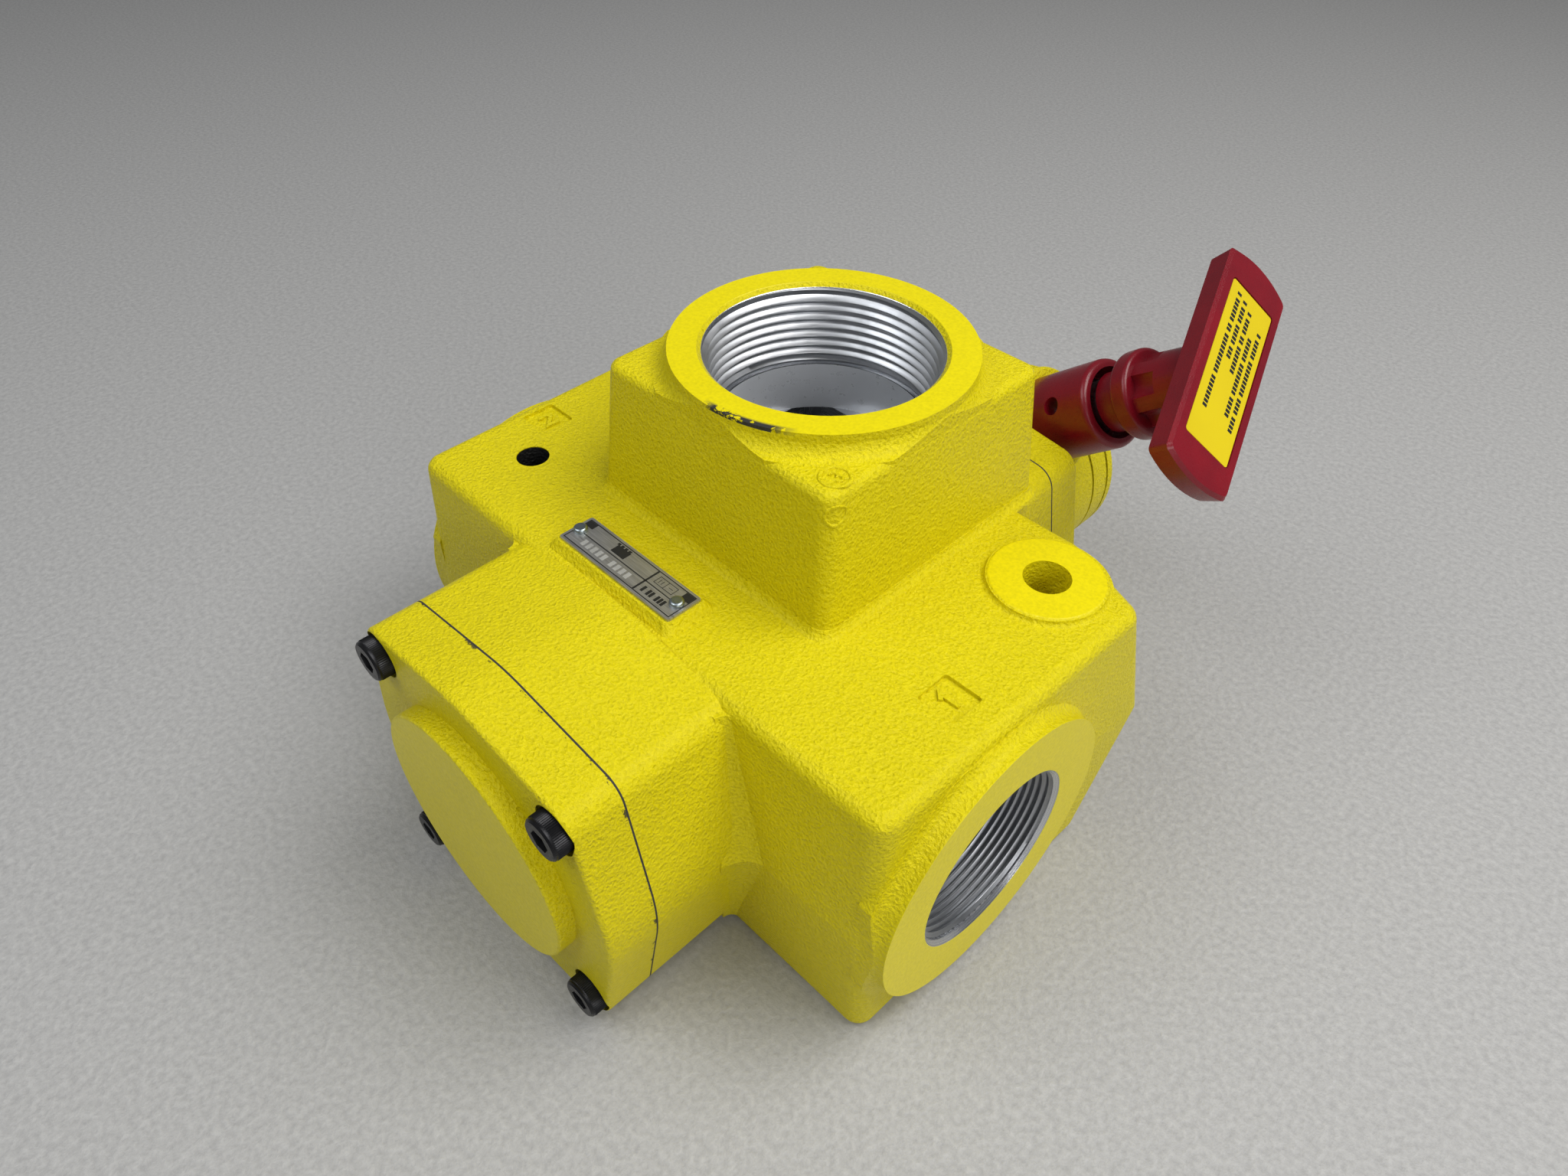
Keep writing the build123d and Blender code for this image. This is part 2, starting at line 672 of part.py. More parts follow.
ring_gasket = 1.2
cap_disc("pilot_gasket", PILOT_END_Y, ring_gasket, PILOT_R - 0.9, screw_r=2.8)
cap_disc("pilot_spacer_ring", PILOT_END_Y + ring_gasket, RING_THICK, PILOT_R, screw_r=2.8)
cap_gasket_y = PILOT_END_Y + ring_gasket + RING_THICK
cap_disc("rear_cap_gasket", cap_gasket_y, ring_gasket, PILOT_R - 0.9, screw_r=2.8)
cap_y = cap_gasket_y + ring_gasket
cap_disc("rear_cap", cap_y, CAP_END_Y - cap_y, PILOT_R, edge=2.5, screw_r=2.8)

rear_cap_screws = cap_screws(
    facing_rear(CAP_END_Y - 3.5), 4.3, 3.5, 2.5, CAP_END_Y - 3.5 - PILOT_END_Y + 4.4, 2.1,
    lambda: PolarLocations(PILOT_SCREW_CIRCLE, 4, start_angle=45 - HANDLE_TILT),
)
save(rear_cap_screws, "rear_cap_screws")

# ------------------------------------------------------------------ handle
def handle_disc(s_from, s_to, radius, mode=Mode.ADD):
    """A round step of the handle between two stations on its axis."""
    with BuildSketch(HANDLE.offset(s_from)) as section:
        Circle(radius)
    extrude(section.sketch, amount=s_to - s_from, mode=mode)


def cross_hole(station):
    """The padlock hole, square to the handle's axis."""
    lean = radians(LOCK_HOLE_LEAN)
    across_dir = (-sin(tilt) * sin(lean), -cos(lean), cos(tilt) * sin(lean))
    across = Plane(origin=HANDLE.from_local_coords((0, 0, station)), z_dir=across_dir)
    with BuildSketch(across) as hole:
        Circle(LOCK_HOLE_R)
    extrude(hole.sketch, amount=20, both=True, mode=Mode.SUBTRACT)


def edges_at(part, station, radius):
    """Circular edges of a handle piece at a station and about a radius."""
    found = []
    for edge in part.edges().filter_by(GeomType.CIRCLE):
        here = abs(HANDLE.to_local_coords(edge.arc_center).Z - station) < 0.01
        if here and abs(edge.radius - radius) < 0.01:
            found.append(edge)
    return found


with BuildPart() as handle_sleeve:
    handle_disc(SLEEVE_START, HANDLE_RIM, HANDLE_R)
    fillet(edges_at(handle_sleeve, HANDLE_RIM, HANDLE_R), 2.2)
    # dished end
    handle_disc(HANDLE_RIM - DISH_DEPTH, HANDLE_RIM, DISH_R, Mode.SUBTRACT)
    handle_disc(HANDLE_RIM - DISH_DEPTH - WIPER_THICK, HANDLE_RIM, WIPER_R, Mode.SUBTRACT)
    handle_disc(SLEEVE_START, HANDLE_RIM, SHAFT_R + RUN_GAP, Mode.SUBTRACT)
    cross_hole(LOCK_HOLE)
save(handle_sleeve, "handle_lock_sleeve")

with BuildPart() as shaft_wiper:
    handle_disc(HANDLE_RIM - DISH_DEPTH - WIPER_THICK, HANDLE_RIM - DISH_DEPTH, WIPER_R)
    handle_disc(HANDLE_RIM - DISH_DEPTH - WIPER_THICK, HANDLE_RIM, SHAFT_R + RUN_GAP, Mode.SUBTRACT)
save(shaft_wiper, "shaft_wiper_seal")

with BuildPart() as handle_shaft:
    handle_disc(SPOOL_START, SHAFT_END, SHAFT_R)
    handle_disc(SHAFT_END, STUD_END, STUD_R)
    # seal grooves of the pilot spool
    for groove in (3, 13):
        with BuildSketch(HANDLE.offset(groove)):
            Circle(SHAFT_R)
            Circle(SHAFT_R - 2.2, mode=Mode.SUBTRACT)
        extrude(amount=2.6, mode=Mode.SUBTRACT)
    # this hole lines up with the sleeve's when the handle is in
    cross_hole(LOCK_HOLE + HANDLE_TRAVEL)
save(handle_shaft, "handle_shaft")

o_ring("pilot_spool_seals", HANDLE, (4.3, 14.3), SHAFT_R - 1.1, 1.08)

with BuildPart() as grip_clip:
    handle_disc(STUD_END - 2.5, STUD_END - 1, STUD_R + 2)
    handle_disc(STUD_END - 2.5, STUD_END - 1, STUD_R, Mode.SUBTRACT)
save(grip_clip, "grip_retaining_clip")

turn = radians(TEE_TURN)
tee_long_dir = (-sin(tilt) * sin(turn), cos(turn), cos(tilt) * sin(turn))
TEE = Plane(origin=handle_origin, x_dir=tee_long_dir, z_dir=HANDLE.z_dir)


def tee_outline(grow):
    """The grip's outline: straight long sides and bowed ends."""
    half_long = TEE_LONG / 2 + grow
    half_wide = TEE_WIDE / 2 + grow
    with BuildSketch(Plane.XY) as outline:
        with BuildLine():
            corner_x = half_long - TEE_BULGE
            Line((-corner_x, half_wide), (corner_x, half_wide))
            ThreePointArc((corner_x, half_wide), (half_long, 0), (corner_x, -half_wide))
            Line((corner_x, -half_wide), (-corner_x, -half_wide))
            ThreePointArc((-corner_x, -half_wide), (-half_long, 0), (-corner_x, half_wide))
        make_face()
        fillet(outline.vertices(), 2)
    return outline.sketch


label_recess = 0.6
label_long, label_wide = 59.5, 22.0

with BuildPart() as tee_grip:
    handle_disc(SKIRT_START, FLANGE_START + 1, SKIRT_R)
    handle_disc(FLANGE_START, FLANGE_END, FLANGE_R)
    fillet(edges_at(tee_grip, FLANGE_START, FLANGE_R) + edges_at(tee_grip, FLANGE_END, FLANGE_R), 1.6)
    # neck, with scallops all round
    with BuildSketch(HANDLE.offset(FLANGE_END - 0.5)):
        Circle(12.6)
    with BuildSketch(HANDLE.offset(TEE_BACK + 0.5)):
        Circle(11.4)
    loft()
    with BuildSketch(HANDLE.offset(FLANGE_END)):
        with PolarLocations(15.2, 6, start_angle=TEE_TURN):
            Circle(5.2)
    extrude(amount=8.5, mode=Mode.SUBTRACT)
    # cross bar, thinner towards its back
    with BuildSketch(TEE.offset(TEE_BACK - 5)):
        add(tee_outline(-6.5))
    with BuildSketch(TEE.offset(TEE_BACK)):
        add(tee_outline(-0.8))
    loft()
    with BuildSketch(TEE.offset(TEE_BACK)):
        add(tee_outline(-0.8))
    with BuildSketch(TEE.offset(TEE_FACE - 1.2)):
        add(tee_outline(0))
    loft()
    with BuildSketch(TEE.offset(TEE_FACE - 1.2)):
        add(tee_outline(0))
    with BuildSketch(TEE.offset(TEE_FACE)):
        add(tee_outline(-1.0))
    loft()
    with BuildSketch(TEE.offset(TEE_FACE)):
        RectangleRounded(label_long + 0.8, label_wide + 0.8, 1.4)
    extrude(amount=-label_recess, mode=Mode.SUBTRACT)
    # blind bore for the shaft's stud, with room for its clip
    handle_disc(SKIRT_START - 1, SHAFT_END + RUN_GAP, SHAFT_R + RUN_GAP, Mode.SUBTRACT)
    handle_disc(SHAFT_END, STUD_END + 0.5, STUD_R + RUN_GAP, Mode.SUBTRACT)
    handle_disc(STUD_END - 3, STUD_END + 0.5, STUD_R + 2.3, Mode.SUBTRACT)
save(tee_grip, "tee_grip")

with BuildPart() as grip_label:
    with BuildSketch(TEE.offset(TEE_FACE - label_recess)):
        RectangleRounded(label_long, label_wide, 1.0)
    extrude(amount=0.35)
save(grip_label, "grip_label")

# -------------------------------------------------------------- name plate
with BuildPart() as name_plate:
    with BuildSketch(Plane.XY.offset(TAG_Z)):
        with Locations((TAG_X, TAG_Y)):
            RectangleRounded(TAG_LONG, TAG_WIDE, 0.8)
        with Locations(*TAG_SCREWS):
            Circle(TAG_SCREW_R, mode=Mode.SUBTRACT)
    extrude(amount=TAG_THICK)
save(name_plate, "name_plate")

with BuildPart() as drive_screws:
    with BuildSketch(Plane.XY.offset(TAG_Z + TAG_THICK)):
        with Locations(*TAG_SCREWS):
            Circle(2.3)
    extrude(amount=1.5)
    fillet(drive_screws.faces().sort_by(Axis.Z)[-2:].edges(), 0.9)
    with BuildSketch(Plane.XY.offset(TAG_Z + TAG_THICK)):
        with Locations(*TAG_SCREWS):
            Circle(TAG_SCREW_R)
    extrude(amount=-7)
save(drive_screws, "name_plate_drive_screws")
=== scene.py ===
import math

import bmesh
import bpy
from mathutils import Matrix, Vector


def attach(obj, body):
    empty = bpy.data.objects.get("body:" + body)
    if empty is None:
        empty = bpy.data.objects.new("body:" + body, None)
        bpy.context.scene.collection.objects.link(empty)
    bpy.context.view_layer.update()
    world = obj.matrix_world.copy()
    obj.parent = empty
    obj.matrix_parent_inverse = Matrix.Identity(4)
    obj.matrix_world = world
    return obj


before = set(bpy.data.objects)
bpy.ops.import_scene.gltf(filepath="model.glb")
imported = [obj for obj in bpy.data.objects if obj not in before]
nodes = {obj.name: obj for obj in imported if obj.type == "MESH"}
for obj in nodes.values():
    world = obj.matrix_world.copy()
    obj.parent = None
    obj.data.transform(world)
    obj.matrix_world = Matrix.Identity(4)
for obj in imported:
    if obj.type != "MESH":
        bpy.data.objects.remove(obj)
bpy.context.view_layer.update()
MM = 0.001

# ------------------------------------------------------------ places, in mm
TOP_PORT_Z, TOP_THREAD_R, TOP_THREAD_DEPTH = 163.0, 36.5, 28.0
END_PORT_X, END_THREAD_R, END_THREAD_DEPTH = 112.0, 30.2, 24.0
PORT_Y, PORT_Z = -38.6, 54.0
TOP_LEAD_IN, END_LEAD_IN = 1.6, 1.5
TOP_BORE_R, END_BORE_R, BORE_DEPTH = 33.3, 27.5, 45.0
INCH = 25.4
TOP_PITCH = INCH / 8
END_PITCH = INCH / 11.5
SPOOL_Z = 56.5
SCREW_PITCH, HEAD_R, HEAD_BACK_Y = 42.3, 6.5, -135.8
KNURL_START, KNURL_END = 0.3, 6.9
TAG = (-9.4, -72.2, 112.8)
HANDLE_TILT = math.radians(39)
TEE_TURN = math.radians(31)
HANDLE_Y, HANDLE_OFFSET = 100, 18.4
HANDLE_ORIGIN = Vector((
    -HANDLE_OFFSET * math.sin(HANDLE_TILT),
    HANDLE_Y,
    SPOOL_Z + HANDLE_OFFSET * math.cos(HANDLE_TILT),
))
HANDLE_DIR = Vector((math.cos(HANDLE_TILT), 0, math.sin(HANDLE_TILT)))
TEE_LONG_DIR = Vector((
    -math.sin(HANDLE_TILT) * math.sin(TEE_TURN),
    math.cos(TEE_TURN),
    math.cos(HANDLE_TILT) * math.sin(TEE_TURN),
))
TEE_FACE, LABEL_RECESS, LABEL_THICK = 121.5, 0.6, 0.35
LABEL_TOP = TEE_FACE - LABEL_RECESS + LABEL_THICK

# ------------------------------------------------------------ limits of the paint, in metres
TURNED_EDGE, HARD_EDGE = 0.0004, 0.00005
TOP_FACE_Z, TOP_FACE_R = 0.16285, 0.0478
END_FACE_X, END_FACE_R = 0.11185, 0.0505
LUG_X, LUG_Y, LUG_R = 0.08, 0.016, 0.0178
LUG_LOW_Z, LUG_HIGH_Z = 0.1108, 0.1125
SENSING_X, SENSING_Y, SENSING_R = -0.079, -0.058, 0.00572
SENSING_LOW_Z, SENSING_HIGH_Z = 0.070, 0.1087
TOP_BARE_R, TOP_BARE_LOW_Z, TOP_BARE_HIGH_Z = 0.03665, 0.02, 0.1628
END_BARE_R, END_BARE_X = 0.03152, 0.11195
UNDER_PORT = ((-0.030, -0.008, 0.02), (0.030, 0.028, 0.120))
CORED_FRONT = ((-0.088, -0.081, 0.0285), (0.088, -0.0155, 0.0795))
SPOOL_BORE_R, SPOOL_BORE_START, SPOOL_BORE_END = 0.0402, -0.122, 0.0635
CHIP_R, CHIP_LOW_Z, CHIP_BACK_Y = 0.0450, 0.1618, -0.036
CHIP_LEFT_X, CHIP_RIGHT_X = 0.0, 0.0235
COVER_FACE_R, COVER_FACE_Y, COVER_SEAM_Y = 0.0415, -0.144, -0.1236


# ------------------------------------------------------------ node materials
class Net:
    """One procedural material: a Principled shader and the nodes that feed it."""

    def __init__(self, name, **constants):
        self.material = bpy.data.materials.new(name)
        self.material.use_nodes = True
        self.tree = self.material.node_tree
        self.tree.nodes.clear()
        output = self.add("ShaderNodeOutputMaterial")
        self.shader = self.add("ShaderNodeBsdfPrincipled")
        self.tree.links.new(self.shader.outputs[0], output.inputs["Surface"])
        self.place = self.add("ShaderNodeTexCoord").outputs["Object"]
        for key, value in constants.items():
            self.shader.inputs[key.replace("_", " ")].default_value = value

    def add(self, kind, **settings):
        node = self.tree.nodes.new(kind)
        for key, value in settings.items():
            setattr(node, key, value)
        return node

    def feed(self, socket, value):
        if isinstance(value, bpy.types.NodeSocket):
            self.tree.links.new(value, socket)
        else:
            socket.default_value = value

    def math(self, operation, a, b=0.0):
        node = self.add("ShaderNodeMath", operation=operation)
        self.feed(node.inputs[0], a)
        self.feed(node.inputs[1], b)
        return node.outputs[0]

    def noise(self, scale, detail, roughness, at=None):
        node = self.add("ShaderNodeTexNoise")
        self.feed(node.inputs["Vector"], at or self.place)
        node.inputs["Scale"].default_value = scale
        node.inputs["Detail"].default_value = detail
        node.inputs["Roughness"].default_value = roughness
        return node.outputs["Fac"]

    def pits(self, scale):
        node = self.add("ShaderNodeTexVoronoi", feature="SMOOTH_F1")
        self.feed(node.inputs["Vector"], self.place)
        node.inputs["Scale"].default_value = scale
        node.inputs["Smoothness"].default_value = 0.6
        return node.outputs["Distance"]

    def axes(self):
        node = self.add("ShaderNodeSeparateXYZ")
        self.feed(node.inputs[0], self.place)
        return node.outputs[0], node.outputs[1], node.outputs[2]

    def point(self, x, y, z):
        node = self.add("ShaderNodeCombineXYZ")
        for socket, value in zip(node.inputs, (x, y, z)):
            self.feed(socket, value)
        return node.outputs[0]

    def span(self, value, low, high, out_low=0.0, out_high=1.0):
        node = self.add("ShaderNodeMapRange", clamp=True)
        for socket, setting in zip(node.inputs, (value, low, high, out_low, out_high)):
            self.feed(socket, setting)
        return node.outputs[0]

    def mix(self, share, a, b):
        node = self.add("ShaderNodeMix", data_type="RGBA")
        self.feed(node.inputs[0], share)
        self.feed(node.inputs[6], a)
        self.feed(node.inputs[7], b)
        return node.outputs[2]

    def blend(self, share, a, b):
        node = self.add("ShaderNodeMix", data_type="FLOAT")
        self.feed(node.inputs[0], share)
        self.feed(node.inputs[2], a)
        self.feed(node.inputs[3], b)
        return node.outputs[0]

    def bump(self, height, distance, strength=1.0, after=None):
        node = self.add("ShaderNodeBump")
        self.feed(node.inputs["Height"], height)
        self.feed(node.inputs["Strength"], strength)
        node.inputs["Distance"].default_value = distance
        if after is not None:
            self.feed(node.inputs["Normal"], after)
        return node.outputs[0]

    def radius(self, a, b, a0=0.0, b0=0.0):
        """Distance from the line where a = a0 and b = b0, in metres."""
        da = self.math("SUBTRACT", a, a0)
        db = self.math("SUBTRACT", b, b0)
        squares = self.math("ADD", self.math("MULTIPLY", da, da), self.math("MULTIPLY", db, db))
        return self.math("SQRT", squares)

    def below(self, value, limit, soft=0.0001):
        return self.span(value, limit - soft, limit + soft, 1.0, 0.0)

    def above(self, value, limit, soft=0.0001):
        return self.span(value, limit - soft, limit + soft, 0.0, 1.0)

    def both(self, *masks):
        got = masks[0]
        for mask in masks[1:]:
            got = self.math("MULTIPLY", got, mask)
        return got

    def either(self, *masks):
        got = masks[0]
        for mask in masks[1:]:
            got = self.math("MAXIMUM", got, mask)
        return got

    def finish(self, color, rough, normal, metal=0.0):
        self.feed(self.shader.inputs["Base Color"], color)
        self.feed(self.shader.inputs["Roughness"], rough)
        self.feed(self.shader.inputs["Normal"], normal)
        self.feed(self.shader.inputs["Metallic"], metal)
        return self.material


PAINT = (0.76, 0.645, 0.002, 1)
PAINT_LOW = (0.66, 0.56, 0.002, 1)
PAINT_HIGH = (0.79, 0.675, 0.004, 1)
PRIMER = (0.035, 0.034, 0.032, 1)
MACHINED_RELIEF = 0.07    # how much of the cast skin is left on a machined face
CAST_RELIEF, WAVE_RELIEF, CHIP_RELIEF, LATHE_RELIEF = 0.0008, 0.0006, 0.00025, 0.00003
LATHE_LINES, THREAD_LINES = 2600.0, 1900.0    # noise cells per metre
BRUSH_ALONG, BRUSH_ACROSS = 90.0, 2400.0
# near-black painted shade for the inside of the sensing hole
PAINTED_SHADE_BLACK = (0.012, 0.012, 0.012, 1)
BARE = (0.74, 0.75, 0.77, 1)
BARE_DULL = (0.40, 0.41, 0.43, 1)


def paint(name, smooth=None, bare=None, chips=None, painted_shade=None):
    """Lemon yellow enamel over a sand-cast skin. The other arguments build masks."""
    net = Net(name, Specular_IOR_Level=0.2, Coat_Weight=0.03, Coat_Roughness=0.2)
    skin = net.noise(1250, 3, 0.6)
    grit = net.pits(800)
    waves = net.noise(42, 2, 0.5)
    rough_skin = net.math("ADD", skin, net.math("MULTIPLY", grit, 0.55))
    film = net.noise(1500, 2, 0.5)
    machined = smooth(net) if smooth else None
    if bare:
        bare_mask, turned = bare(net)
        machined = net.either(machined, bare_mask)
    amount = 1.0 if machined is None else net.blend(machined, 1.0, MACHINED_RELIEF)
    # painted shade: the colour follows the cast skin's relief, darker (PAINT_LOW) in its low pits
    color = net.mix(net.span(rough_skin, 0.55, 0.95), PAINT_LOW, PAINT)
    color = net.mix(net.span(waves, 0.3, 0.75, 0.0, 0.3), color, PAINT_HIGH)
    rough = net.span(film, 0.3, 0.7, 0.30, 0.42)
    normal = net.bump(waves, WAVE_RELIEF, 0.5)
    normal = net.bump(rough_skin, CAST_RELIEF, amount, normal)
    metal = 0.0
    if chips:
        chip = chips(net)
        color = net.mix(chip, color, PRIMER)
        rough = net.blend(chip, rough, 0.6)
        normal = net.bump(net.math("SUBTRACT", 1.0, chip), CHIP_RELIEF, 1.0, normal)
    if bare:
        lathe = net.noise(1, 3, 0.7, at=turned)
        metal_color = net.mix(net.span(lathe, 0.3, 0.7), BARE_DULL, BARE)
        color = net.mix(bare_mask, color, metal_color)
        rough = net.blend(bare_mask, rough, net.span(lathe, 0.25, 0.75, 0.2, 0.34))
        metal = bare_mask
        normal = net.bump(lathe, LATHE_RELIEF, bare_mask, normal)
    # painted shade: the sensing hole's inside is coloured near-black
    if painted_shade:
        color = net.mix(painted_shade(net), color, PAINTED_SHADE_BLACK)
    return net.finish(color, rough, normal, metal)


def body_smooth(net):
    """The faces turned on the casting before it was painted."""
    x, y, z = net.axes()
    top = net.both(net.above(z, TOP_FACE_Z), net.below(net.radius(x, y), TOP_FACE_R, TURNED_EDGE))
    ends = net.both(
        net.above(net.math("ABSOLUTE", x), END_FACE_X),
        net.below(net.radius(y, z, PORT_Y * MM, PORT_Z * MM), END_FACE_R, TURNED_EDGE),
    )
    lugs = net.both(
        net.above(z, LUG_LOW_Z),
        net.below(net.radius(net.math("ABSOLUTE", x), y, LUG_X, LUG_Y), LUG_R, TURNED_EDGE),
        net.below(z, LUG_HIGH_Z),
    )
    return net.either(top, ends, lugs)


def box_mask(net, low, high):
    """1 inside a box of the row frame."""
    masks = []
    for value, floor_value, ceiling in zip(net.axes(), low, high):
        masks += [net.above(value, floor_value), net.below(value, ceiling)]
    return net.both(*masks)


def sensing_hole_painted_shade(net):
    """The inside of the sensing port, coloured near-black as painted shade."""
    x, y, z = net.axes()
    hole = net.below(net.radius(x, y, SENSING_X, SENSING_Y), SENSING_R, HARD_EDGE)
    return net.both(hole, net.below(z, SENSING_HIGH_Z), net.above(z, SENSING_LOW_Z))


def body_bare(net):
    """The unpainted bores and cored rooms, and where their lathe rings lie."""
    x, y, z = net.axes()
    top = net.both(
        net.below(net.radius(x, y), TOP_BARE_R, HARD_EDGE),
        net.above(z, TOP_BARE_LOW_Z),
        net.below(z, TOP_BARE_HIGH_Z),
    )
    ends = net.both(
        net.below(net.radius(y, z, PORT_Y * MM, PORT_Z * MM), END_BARE_R, 0.00004),
        net.below(net.math("ABSOLUTE", x), END_BARE_X, 0.00003),
    )
    spool = net.both(
        net.below(net.radius(x, z, 0.0, SPOOL_Z * MM), SPOOL_BORE_R),
        net.below(y, SPOOL_BORE_END),
        net.above(y, SPOOL_BORE_START),
    )
    mask = net.either(top, ends, spool, box_mask(net, *UNDER_PORT), box_mask(net, *CORED_FRONT))
    depth = net.blend(top, net.blend(ends, y, x), z)
    return mask, net.point(0.0, 0.0, net.math("MULTIPLY", depth, LATHE_LINES))


def body_chips(net):
    """Torn paint on the front edge of the top port's face."""
    x, y, z = net.axes()
    edge = net.both(
        net.above(net.radius(x, y), CHIP_R, 0.0005),
        net.above(z, CHIP_LOW_Z),
        net.below(y, CHIP_BACK_Y, 0.002),
    )
    window = net.both(net.above(x, CHIP_LEFT_X, 0.002), net.below(x, CHIP_RIGHT_X, 0.003))
    torn = net.noise(330, 4, 0.7)
    return net.both(edge, window, net.above(torn, 0.45, 0.015))


def cover_smooth(net):
    """The cover's round pad."""
    x, y, z = net.axes()
    pad = net.below(net.radius(x, z, 0.0, SPOOL_Z * MM), COVER_FACE_R)
    return net.both(pad, net.below(y, COVER_FACE_Y))


def cover_chips(net):
    """Small knocks along the cover's joint edge."""
    x, y, z = net.axes()
    torn = net.above(net.noise(210, 4, 0.7), 0.56, 0.015)
    edge = net.both(net.above(y, COVER_SEAM_Y, 0.0002), torn)
    return net.math("MULTIPLY", edge, 0.9)


def plain(name, base, rough, metal=0.0, scale=900.0, bump=0.00004, low=None, **constants):
    """A finish with fine mottling: base to low colour, a span of roughness and a fine relief."""
    net = Net(name, **constants)
    grain = net.noise(scale, 4, 0.6)
    cloud = net.noise(scale / 14, 3, 0.5)
    low = low or tuple(c * 0.72 for c in base[:3]) + (1,)
    color = net.mix(net.span(cloud, 0.3, 0.7), low, base)
    roughness = net.span(grain, 0.25, 0.75, rough[0], rough[1])
    return net.finish(color, roughness, net.bump(grain, bump), metal)


def turned_metal(name, base, low, axis, rough=(0.30, 0.42)):
    """Bare metal with lathe rings round the given axis, which stretch its highlights."""
    net = Net(name, Anisotropic=0.8)
    along = net.math("MULTIPLY", net.axes()[axis], THREAD_LINES)
    rings = net.noise(1, 3, 0.7, at=net.point(0.0, 0.0, along))
    stain = net.noise(130, 3, 0.6)
    color = net.mix(net.span(rings, 0.3, 0.7, 0.0, 0.4), base, low)
    color = net.mix(net.span(stain, 0.45, 0.8, 0.0, 0.4), color, low)
    tangent = net.add("ShaderNodeTangent", direction_type="RADIAL", axis="XYZ"[axis])
    net.feed(net.shader.inputs["Tangent"], tangent.outputs[0])
    roughness = net.span(stain, 0.3, 0.7, rough[0], rough[1])
    return net.finish(color, roughness, net.bump(rings, 0.000004), 1.0)


def brushed_plate(name):
    """Metal with brush lines along X."""
    net = Net(name)
    x, y, z = net.axes()
    stretched = net.point(
        net.math("MULTIPLY", x, BRUSH_ALONG), net.math("MULTIPLY", y, BRUSH_ACROSS), z
    )
    lines = net.noise(1, 3, 0.7, at=stretched)
    color = net.mix(net.span(lines, 0.3, 0.7), (0.34, 0.335, 0.325, 1), (0.58, 0.57, 0.55, 1))
    roughness = net.span(lines, 0.3, 0.7, 0.32, 0.48)
    return net.finish(color, roughness, net.bump(lines, 0.00002), 0.85)


def red_plastic(name):
    """Glossy crimson moulding with a fine spark-eroded grain on it."""
    net = Net(name, Specular_IOR_Level=0.38, Coat_Weight=0.15, Coat_Roughness=0.12)
    grain = net.noise(2300, 2, 0.5)
    cloud = net.noise(60, 3, 0.5)
    color = net.mix(net.span(cloud, 0.3, 0.7), (0.150, 0.003, 0.010, 1), (0.225, 0.004, 0.012, 1))
    return net.finish(color, net.span(grain, 0.3, 0.7, 0.26, 0.38), net.bump(grain, 0.00006))


body_paint = paint("cast_yellow_body", body_smooth, body_bare, body_chips, sensing_hole_painted_shade)
cover_paint = paint("cast_yellow_cover", cover_smooth, None, cover_chips)
part_paint = paint("cast_yellow_parts")
oxide = plain("black_oxide_steel", (0.022, 0.022, 0.024, 1), (0.28, 0.46), 0.75, 1400)
stainless = plain("stainless_steel", (0.55, 0.55, 0.56, 1), (0.2, 0.34), 1.0, 1200, 0.00002)
spring = plain("spring_steel", (0.20, 0.20, 0.21, 1), (0.3, 0.45), 1.0, 900)
zinc = plain(
    "zinc_plated", (0.42, 0.47, 0.49, 1), (0.24, 0.42), 1.0, 1500, 0.00003,
    (0.28, 0.33, 0.34, 1),
)
aluminium = plain("aluminium_bare", (0.68, 0.69, 0.71, 1), (0.25, 0.4), 1.0, 1000, 0.00003)
bronze = plain("bronze_sintered", (0.45, 0.27, 0.11, 1), (0.35, 0.55), 1.0, 2200, 0.00005)
rubber = plain("nitrile_rubber", (0.014, 0.014, 0.015, 1), (0.5, 0.68), 0.0, 1100)
fibre = plain("gasket_fibre", (0.035, 0.032, 0.030, 1), (0.7, 0.9), 0.0, 1600, 0.00006)
crimson = red_plastic("crimson_plastic")
label_film = plain(
    "label_yellow_film", (0.72, 0.56, 0.004, 1), (0.3, 0.4), 0.0, 700, 0.00001,
    (0.68, 0.52, 0.004, 1),
)
ink = plain("black_ink", (0.012, 0.012, 0.012, 1), (0.4, 0.55), 0.0, 1200, 0.00001)
# painted highlight: the stamped figures are a lighter grey than the brushed plate, as if catching
# the light
stamp_painted_highlight = plain("stamped_highlight", (0.62, 0.62, 0.60, 1), (0.4, 0.55), 0.6, 1200, 0.00001)
plate = brushed_plate("name_plate_metal")
thread_z = turned_metal("thread_aluminium_z", (0.54, 0.55, 0.57, 1), (0.32, 0.33, 0.35, 1), 2)
# painted shade: the end ports' threads use a darker copy of the same turned aluminium as the top
# port's
thread_x_painted_shade = turned_metal("thread_aluminium_x", (0.36, 0.37, 0.385, 1), (0.20, 0.205, 0.215, 1), 0)
bore_metal = plain(
    "bore_aluminium", (0.78, 0.80, 0.83, 1), (0.24, 0.38), 0.35, 300, 0.00002,
    (0.56, 0.58, 0.61, 1),
)

BY_SLOT = {
    "cast_yellow": part_paint, "gasket": fibre, "black_oxide": oxide, "stainless": stainless,
    "spring_steel": spring, "zinc_screw": zinc, "aluminium_bare": aluminium, "bronze": bronze,
    "nitrile": rubber, "red_plastic": crimson, "label_yellow": label_film, "plate_metal": plate,
}
BY_NODE = {"valve_body": body_paint, "front_cover": cover_paint}
for name, node in nodes.items():
    for place in node.material_slots:
        place.material = BY_NODE.get(name) or BY_SLOT[place.material.name]


